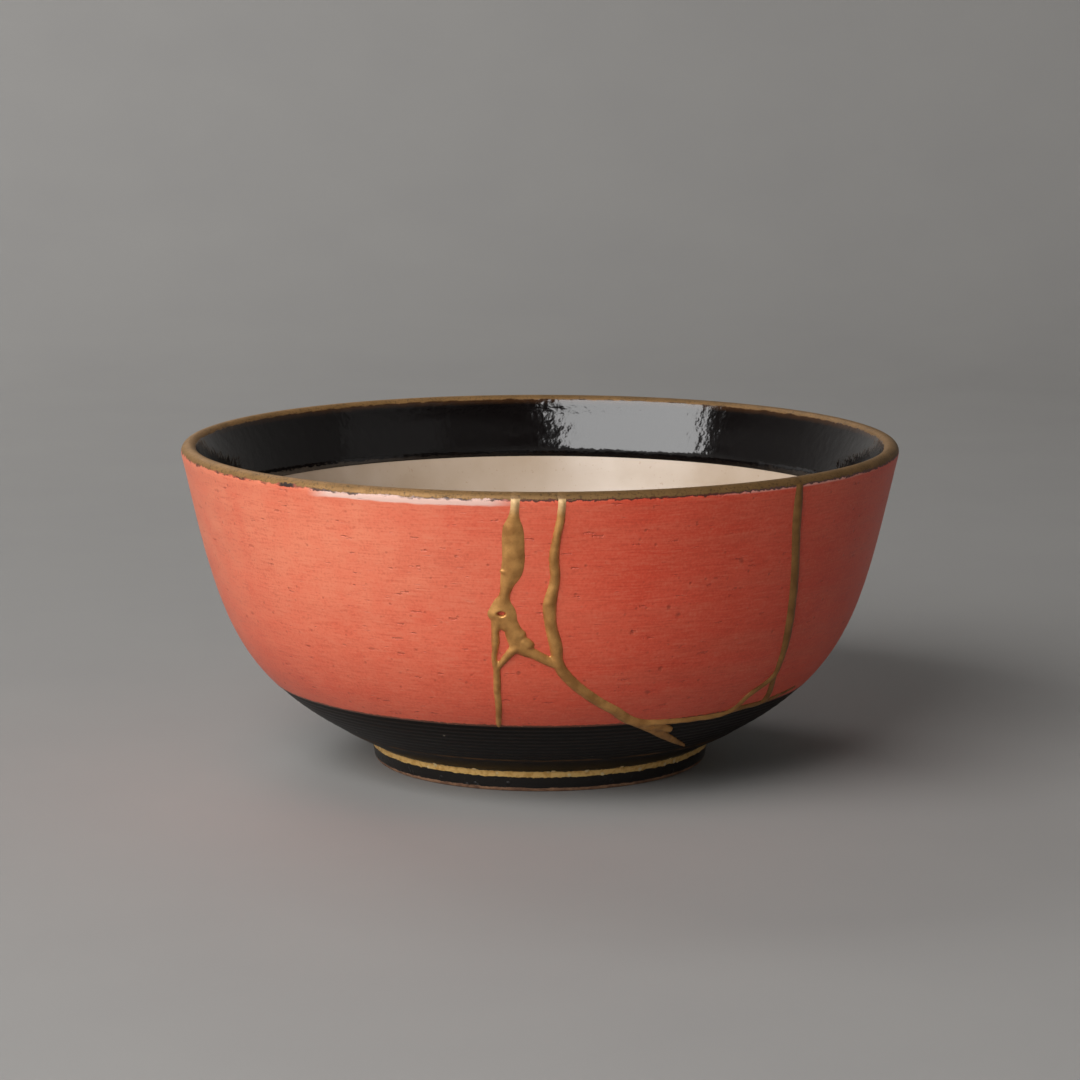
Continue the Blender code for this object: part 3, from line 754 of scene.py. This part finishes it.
def bare_stoneware():
    """Unglazed fired clay, wiped clean before firing: dry, buff and gritty."""
    made, tree, shader, mm = start_material("bare_stoneware")
    shader.inputs["Roughness"].default_value = 0.9
    grit = add(tree, "Math", add(tree, "TexNoise", mm, 1.4, 4.0), 0.12, operation="MULTIPLY")
    tree.links.new(clay_colour(tree, mm), shader.inputs["Base Color"])
    tree.links.new(add(tree, "Bump", 1.0, MM, None, grit), shader.inputs["Normal"])
    return made


bowl = object_from("fired_bowl", turned_bowl())
breaks = [
    break_sheet("wide_break", WIDE_CRACK, True),
    break_sheet("narrow_break", NARROW_BREAK, False),
]
finishes = [coral_glaze(), underside_glaze(), foot_finish(), band_glaze(), well_glaze(),
            bare_stoneware()]
for piece in [bowl] + breaks:
    for finish in finishes:
        piece.data.materials.append(finish)
# The breaks are cut through the whole wall, and the pieces that come loose are parted
for sheet in breaks:
    parting = bowl.modifiers.new(sheet.name, "BOOLEAN")
    parting.object = sheet
    parting.operation = "DIFFERENCE"
    parting.solver = "EXACT"
bpy.context.view_layer.update()
evaluated = bowl.evaluated_get(bpy.context.evaluated_depsgraph_get())
parted = bpy.data.meshes.new_from_object(evaluated)
bowl.modifiers.clear()
bowl.data = parted
for sheet in breaks:
    bpy.data.objects.remove(sheet, do_unlink=True)

others = set(bpy.data.objects) - {bowl}
for other in others:
    other.select_set(False)
bpy.context.view_layer.objects.active = bowl
bowl.select_set(True)
bpy.ops.mesh.separate(type="LOOSE")
sherds = [piece for piece in bpy.data.objects if piece not in others]
sherds.sort(key=lambda piece: piece.dimensions.x, reverse=True)
for sherd, node in zip(sherds, ("bowl_body", "wide_rim_sherd", "narrow_rim_sherd")):
    sherd.name = "glazed_" + node
    sherd.data.name = sherd.name
    sherd.data.set_sharp_from_angle(angle=math.radians(45))
    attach(sherd, "root")
    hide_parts(node)


# The gold lacquer seam.
# Lacquer filled into the cracks, built up in coats and dusted with gold powder while it was
# wet. It stands proud in round beads, with fat drips and short runs where the brush lingered.
SURFACE_RUNS = [
    # The long drip below the wide one
    [(-6.4, 0.636, 1.9), (-6.9, 0.608, 1.3), (-7.2, 0.586, 0.9), (-7.2, 0.560, 1.0),
     (-7.4, 0.530, 0.8), (-7.6, 0.500, 0.7), (-7.3, 0.465, 0.9), (-7.5, 0.400, 0.9),
     (-7.6, 0.340, 0.8), (-8.0, 0.290, 0.7), (-8.1, 0.278, 0.6)],
    # The run that crosses from the narrow crack to the long drip
    [(-3.9, 0.538, 1.4), (-4.8, 0.523, 1.1), (-5.9, 0.500, 0.9), (-6.8, 0.481, 0.8),
     (-7.4, 0.466, 0.7)],
    # A tip, two bumps and a spur beside the narrow crack
    [(-6.4, 0.647, 2.3), (-7.0, 0.640, 1.9)],
    [(-3.7, 0.584, 1.4), (-3.1, 0.578, 1.3)],
    [(-2.7, 0.556, 1.5), (-1.9, 0.547, 1.4)],
    [(-5.2, 0.768, 1.0), (-5.8, 0.771, 0.5)],
    # The thorn that runs on below the wide crack's bend, and its blunt upper shoulder
    [(19.6, 0.275, 1.5), (23.5, 0.246, 1.4), (28.5, 0.208, 1.2), (34.0, 0.174, 0.7),
     (39.5, 0.145, 0.3)],
    [(23.5, 0.256, 1.5), (26.0, 0.246, 1.3), (28.2, 0.236, 0.9)],
    # The right leg and the hairline at the foot of the right-hand crack
    [(48.2, 0.385, 0.8), (49.3, 0.350, 0.9), (50.6, 0.318, 1.0), (51.2, 0.288, 0.9)],
    [(41.5, 0.276, 0.9), (45.5, 0.281, 0.8), (49.7, 0.281, 0.7), (53.2, 0.287, 0.5),
     (57.0, 0.293, 0.4), (62.0, 0.302, 0.3)],
]
# The beads' heights, in millimetres, and their shares towards the rim and inside
BEAD_HEIGHT = 1.15
BEAD_FULLNESS = 0.6
BEAD_AT_RIM = 0.74
BEAD_THINS_FROM = 0.93
LIP_BEAD = 0.48
LIP_BEAD_DROP = 0.013
LIP_FILM = 0.04
INNER_WIDTH = 0.62
INNER_HEIGHT = 0.6
# The hole in the wide drip: azimuth and share of the height, half its width and height, and
# how steeply its sides rise
DRIP_HOLE = (-6.05, 0.645)
HOLE_HALF = (0.80, 0.44)
HOLE_STEEPNESS = 2.0
# How readily runs flow together, and the height and width of each size of lump
FLOW = 9.0
LUMPS = [(0.13, 2.6), (0.03, 0.9)]
# The sheet's edges in degrees and metres, and its grain, its trimmed edge and its bed below
# the wall's face in millimetres
LEFT_EDGE, RIGHT_EDGE = -11.0, 66.0
LOW_OUTSIDE = 9.5 * MM
LOW_INSIDE = 21.0 * MM
SHEET_GRAIN = 0.27
SUNK = -0.22
BED = 0.45
# The height that stands for no gold at all
NO_GOLD = -9.0


def bead_height(half, t):
    """A narrow bead is lower than a wide one, and each thins a little under the lip."""
    near_rim = max(0.0, t - BEAD_THINS_FROM) / (1.0 - BEAD_THINS_FROM)
    return BEAD_HEIGHT * half / (half + BEAD_FULLNESS) * (1.0 - (1.0 - BEAD_AT_RIM) * near_rim)


def strand(route, point_at, width, height):
    """A run of gold as rows of x, y, z, half width and bead height, in millimetres."""
    rows = []
    for azimuth, share, half in smooth_route(route, 6):
        t = station_at(share * HEIGHT, outer_point)
        place = carried_round(point_at(t), azimuth) / MM
        rows.append((*place, half * width, bead_height(half, t) * height))
    return np.array(rows)


def lip_strand(azimuth, half):
    """The gold that carries a seam over the lip: it drops to a film under the gilding."""
    rows = []
    for angle in spread(-10, 190, 10):
        place = carried_round(lip_point(angle), azimuth) / MM
        rows.append((*place, half, max(LIP_FILM, LIP_BEAD - LIP_BEAD_DROP * (angle + 10))))
    return np.array(rows)


def wall_faces():
    """The wall's section where gold can lie: distance along it, and rows of point and normal."""
    rows = []
    for t in spread(station_at(LOW_OUTSIDE, outer_point), 1.0, 0.002):
        rows.append((outer_point(t), outer_normal(t)))
    for angle in spread(2, 178, 4):
        rows.append((lip_point(angle), (lip_point(angle) - LIP_CENTRE).normalized()))
    for t in spread(1.0, station_at(LOW_INSIDE, inner_point), 0.002):
        rows.append((inner_point(t), -outer_normal(t)))
    along = [0.0]
    for before, after in zip(rows, rows[1:]):
        along.append(along[-1] + (after[0] - before[0]).length / MM)
    return np.array(along), np.array([(p.x / MM, p.y / MM, n.x, n.y) for p, n in rows])


def bead_field(places, rows):
    """How far one run's domed top stands over each place, and below 0 off its edge."""
    top = np.full(len(places), NO_GOLD)
    for start, end in zip(rows, rows[1:]):
        reach = 2 * max(start[3], end[3]) + 2.0
        near = (np.abs(places - (start[:3] + end[:3]) / 2) < reach).all(axis=1)
        spots = places[near] - start[:3]
        way = end[:3] - start[:3]
        share = np.clip(spots @ way / (way @ way), 0.0, 1.0)
        off = np.linalg.norm(spots - share[:, None] * way, axis=1)
        off = off / (start[3] + share * (end[3] - start[3]))
        rise = start[4] + share * (end[4] - start[4])
        dome = np.where(off < 1.0, rise * (1.0 - off * off), -2.0 * rise * (off - 1.0))
        top[near] = np.maximum(top[near], dome)
    return top


def gold_heights(places):
    """How high the gold stands over each place on the wall, in millimetres."""
    runs = [strand(route, outer_point, 1.0, 1.0)
            for route in [WIDE_CRACK, NARROW_CRACK] + SURFACE_RUNS]
    runs += [strand(route, inner_point, INNER_WIDTH, INNER_HEIGHT)
             for route in (WIDE_CRACK, NARROW_CRACK)]
    runs += [lip_strand(azimuth, half)
             for azimuth, _, half in (WIDE_CRACK[0], WIDE_CRACK[-1], NARROW_CRACK[0])]

    # Runs flow into each other where they meet
    heights = np.log(sum(np.exp(FLOW * bead_field(places, run)) for run in runs)) / FLOW

    # The hole left in the wide drip, on the outer face only
    t = station_at(DRIP_HOLE[1] * HEIGHT, outer_point)
    offset = places - np.array(carried_round(outer_point(t), DRIP_HOLE[0]) / MM)
    oval = np.hypot(offset[:, 0] / HOLE_HALF[0], offset[:, 2] / HOLE_HALF[1])
    oval[np.abs(offset[:, 1]) > 5.0] = 9.0
    heights = np.minimum(heights, HOLE_STEEPNESS * (oval - 1.0))

    # Hand-laid lumps, too weak at the edges to lift them
    for i in np.nonzero(heights > SUNK - 0.3)[0]:
        spot = Vector(places[i])
        lumps = sum(height * noise.noise(spot / width) for height, width in LUMPS)
        heights[i] += lumps * min(1.0, max(0.25, 2.0 * heights[i]))
    return heights


def gold_mesh():
    """The gold as one closed skin: a fine sheet laid on the wall, raised, trimmed and bedded."""
    along, faces = wall_faces()
    width = math.radians(RIGHT_EDGE - LEFT_EDGE) * RIM_RADIUS / MM
    bm = bmesh.new()
    bmesh.ops.create_grid(
        bm, x_segments=round(width / SHEET_GRAIN), y_segments=round(along[-1] / SHEET_GRAIN),
        size=0.5,
    )
    number = bm.verts.layers.int.new("number")
    flat = np.array([vert.co[:2] for vert in bm.verts]) + 0.5
    azimuth = np.radians(LEFT_EDGE + flat[:, 0] * (RIGHT_EDGE - LEFT_EDGE))
    radius, height, out, up = (
        np.interp(flat[:, 1] * along[-1], along, faces[:, i]) for i in range(4)
    )
    east, south = np.sin(azimuth), -np.cos(azimuth)
    places = np.stack([radius * east, radius * south, height], axis=1)
    normals = np.stack([out * east, out * south, up], axis=1)
    heights = gold_heights(places)
    tops = (places + normals * np.maximum(heights, SUNK)[:, None]) * MM
    tops[:, 2] = np.minimum(tops[:, 2], cad_box[1][2])
    beds = (places - normals * BED) * MM

    spare = []
    for i, vert in enumerate(bm.verts):
        vert[number] = i
        vert.co = tops[i]
        if heights[i] < SUNK:
            spare.append(vert)
    bmesh.ops.delete(bm, geom=spare, context="VERTS")
    bedded = bmesh.ops.extrude_face_region(bm, geom=bm.faces[:])["geom"]
    for vert in bedded:
        if isinstance(vert, bmesh.types.BMVert):
            vert.co = beds[vert[number]]
    loose = [vert for vert in bm.verts if not vert.link_faces]
    bmesh.ops.delete(bm, geom=loose, context="VERTS")
    bm.verts.layers.int.remove(number)
    bmesh.ops.recalc_face_normals(bm, faces=bm.faces)
    return bm


def gold_lacquer():
    """Lacquer dusted with gold powder and burnished.

    A satin antique gold: the powder breaks up the shine, and the hollows stay darker. It is
    darker on the right-hand crack, partly a thin olive-brown coat and partly painted shade,
    and it carries a painted pale highlight just under the lip, whose own gilding runs on over it.
    """
    made, tree, shader, mm = start_material("burnished_gold_powder_lacquer")
    x = add(tree, "SeparateXYZ", mm, out="X")
    z = add(tree, "SeparateXYZ", mm, out="Z")
    cloud = add(tree, "MapRange", add(tree, "TexNoise", mm, 0.3, 3.0), 0.35, 0.65)
    colour = add(tree, "Mix", cloud, linear("#D59E5B"), linear("#AE7A42"), data_type="RGBA")
    powder = add(tree, "TexNoise", mm, 3.0, 3.0, 0.6)
    bare = add(tree, "MapRange", powder, 0.62, 0.72, 0.0, 0.35)
    colour = add(tree, "Mix", bare, colour, linear("#5A3E1E"), data_type="RGBA")
    # Darker on the right-hand crack: partly a thin olive-brown coat, partly painted shade where
    # that crack turns away from the key light
    darker_to_right = add(tree, "MapRange", x, 25.0, 60.0, 0.0, 0.65)
    colour = add(tree, "Mix", darker_to_right, colour, linear("#50361B"), data_type="RGBA")
    # Painted highlight: pale beige at the seams' tops just under the lip, fading out before the
    # right-hand crack
    tip = add(tree, "Math", powder, 2.0, z, operation="MULTIPLY_ADD")
    tip = add(tree, "MapRange", tip, 76.6, 79.2, 0.0, 0.6)
    tip = add(tree, "Math", tip, add(tree, "MapRange", x, 45.0, 15.0), operation="MULTIPLY")
    colour = add(tree, "Mix", tip, colour, linear("#D9BC8B"), data_type="RGBA")
    on_lip = add(tree, "MapRange", z, 79.6, 79.9)
    colour = add(tree, "Mix", on_lip, colour, gilding(tree, mm), data_type="RGBA")
    rough = add(tree, "MapRange", powder, 0.3, 0.7, 0.36, 0.50)
    rough = add(tree, "Mix", tip, rough, 0.65)
    relief = add(tree, "Math", powder, 0.03, operation="MULTIPLY")
    metal = add(tree, "Math", tip, -0.7, 0.6, operation="MULTIPLY_ADD")
    tree.links.new(metal, shader.inputs["Metallic"])
    tree.links.new(colour, shader.inputs["Base Color"])
    tree.links.new(rough, shader.inputs["Roughness"])
    tree.links.new(add(tree, "Bump", 1.0, MM, None, relief), shader.inputs["Normal"])
    return made


seam = object_from("raised_gold_seam", gold_mesh())
seam.data.materials.append(gold_lacquer())
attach(seam, "root")
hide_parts("gold_seam")


# The studio.
# A pale floor that sweeps up into its own backdrop on every side, one large soft light at
# the front left with a weak fill on the right, a lamp over the far left of the backdrop,
# and the camera at the photograph's angle.
FLOOR_RADIUS = 0.8
SWEEP = 0.5
BACKDROP_TOP = 1.5
CAMERA_PLACE = (0.0, -0.8713, 0.2021)
CAMERA_TILT = math.radians(80.43)
CAMERA_LENS = 116.43
AIR_LIGHT = 0.025


def round_sweep():
    """The floor and backdrop, turned from one section."""
    section = [(0.0, 0.0), (FLOOR_RADIUS, 0.0)]
    for angle in spread(-75, 0, 15):
        turn = math.radians(angle)
        section.append((FLOOR_RADIUS + SWEEP * math.cos(turn), SWEEP + SWEEP * math.sin(turn)))
    section.append((FLOOR_RADIUS + SWEEP, BACKDROP_TOP))
    bm = bmesh.new()
    verts = [bm.verts.new((r, 0.0, z)) for r, z in section]
    edges = [bm.edges.new(pair) for pair in zip(verts, verts[1:])]
    bmesh.ops.spin(
        bm, geom=verts + edges, cent=(0, 0, 0), axis=(0, 0, 1), angle=2 * math.pi, steps=96,
        use_merge=True,
    )
    bmesh.ops.remove_doubles(bm, verts=bm.verts, dist=0.01 * MM)
    return bm


def floor_paint():
    """Matt studio paint, pale grey and very slightly mottled."""
    made, tree, shader, mm = start_material("matt_studio_paint")
    mottle = add(tree, "TexNoise", mm, 1 / 60, 3.0)
    colour = add(tree, "Mix", mottle, linear("#94928F"), linear("#8E8C8A"), data_type="RGBA")
    shader.inputs["Roughness"].default_value = 0.8
    tree.links.new(colour, shader.inputs["Base Color"])
    return made


floor = object_from("studio_floor", round_sweep())
floor.data.materials.append(floor_paint())


def soft_light(name, place, aim, width, height, radiance):
    """A soft box, aimed at a point, of a given brightness."""
    lamp = bpy.data.lights.new(name, "AREA")
    lamp.shape = "RECTANGLE"
    lamp.size = width
    lamp.size_y = height
    lamp.energy = math.pi * width * height * radiance
    made = bpy.data.objects.new(name, lamp)
    bpy.context.scene.collection.objects.link(made)
    made.location = place
    made.rotation_euler = (Vector(aim) - Vector(place)).to_track_quat("-Z", "Y").to_euler()
    made.visible_camera = False


soft_light("key", (-0.67, -0.83, 0.72), (0.0, 0.0, 0.05), 1.17, 0.95, 7.3)
soft_light("fill", (0.95, -0.50, 0.55), (0.0, 0.0, 0.05), 0.8, 0.8, 0.1)
soft_light("backdrop", (-0.55, 0.95, 0.92), (-0.42, 1.05, 0.07), 0.6, 0.6, 5.2)

world = bpy.data.worlds.new("studio_air")
world.use_nodes = True
air = world.node_tree.nodes["Background"]
air.inputs["Color"].default_value = (AIR_LIGHT, AIR_LIGHT, AIR_LIGHT, 1.0)
bpy.context.scene.world = world

camera_lens = bpy.data.cameras.new("camera")
camera_lens.lens = CAMERA_LENS
camera_lens.sensor_width = 36.0
camera = bpy.data.objects.new("camera", camera_lens)
camera.location = CAMERA_PLACE
camera.rotation_euler = (CAMERA_TILT, 0.0, 0.0)
bpy.context.scene.collection.objects.link(camera)
bpy.context.scene.camera = camera
bpy.context.scene.view_settings.view_transform = "Standard"
